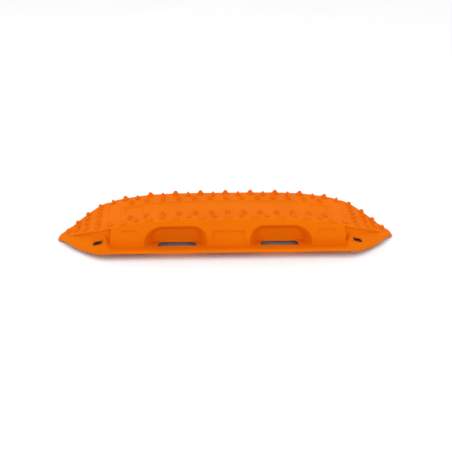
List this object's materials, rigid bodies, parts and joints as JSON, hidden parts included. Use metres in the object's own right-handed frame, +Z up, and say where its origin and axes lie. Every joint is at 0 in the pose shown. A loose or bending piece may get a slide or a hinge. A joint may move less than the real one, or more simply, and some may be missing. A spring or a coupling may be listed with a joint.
{
  "type": "tire traction mat",
  "caption": "Moulded orange traction board with ramped noses, crowned studded deck, side hand pockets with slots, and leash holes.",
  "frame": {"origin": "centre of the underside, on the ground plane under the middle of the deck", "axes": "+X along the board from one nose to the other, +Y across it, +Z up out of the studded deck"},
  "size_m": [1.06, 0.306, 0.1215],
  "materials": {
    "shell": "fine moulded texture, satin to matt",
    "studs": "fine moulded texture, satin to matt",
    "fixings": "plain zinc-plated"
  },
  "bodies": {
    "root": {"board_shell": "shell", "studs_edge_row_near": "studs", "washers_edge_row_near": "fixings", "screws_edge_row_near": "fixings", "studs_offset_row_near": "studs", "washers_offset_row_near": "fixings", "screws_offset_row_near": "fixings", "studs_inner_row_near": "studs", "washers_inner_row_near": "fixings", "screws_inner_row_near": "fixings", "studs_edge_row_far": "studs", "washers_edge_row_far": "fixings", "screws_edge_row_far": "fixings", "studs_offset_row_far": "studs", "washers_offset_row_far": "fixings", "screws_offset_row_far": "fixings", "studs_inner_row_far": "studs", "washers_inner_row_far": "fixings", "screws_inner_row_far": "fixings", "studs_ramp_left": "studs", "washers_ramp_left": "fixings", "screws_ramp_left": "fixings", "studs_ramp_right": "studs", "washers_ramp_right": "fixings", "screws_ramp_right": "fixings"}
  },
  "joints": []
}
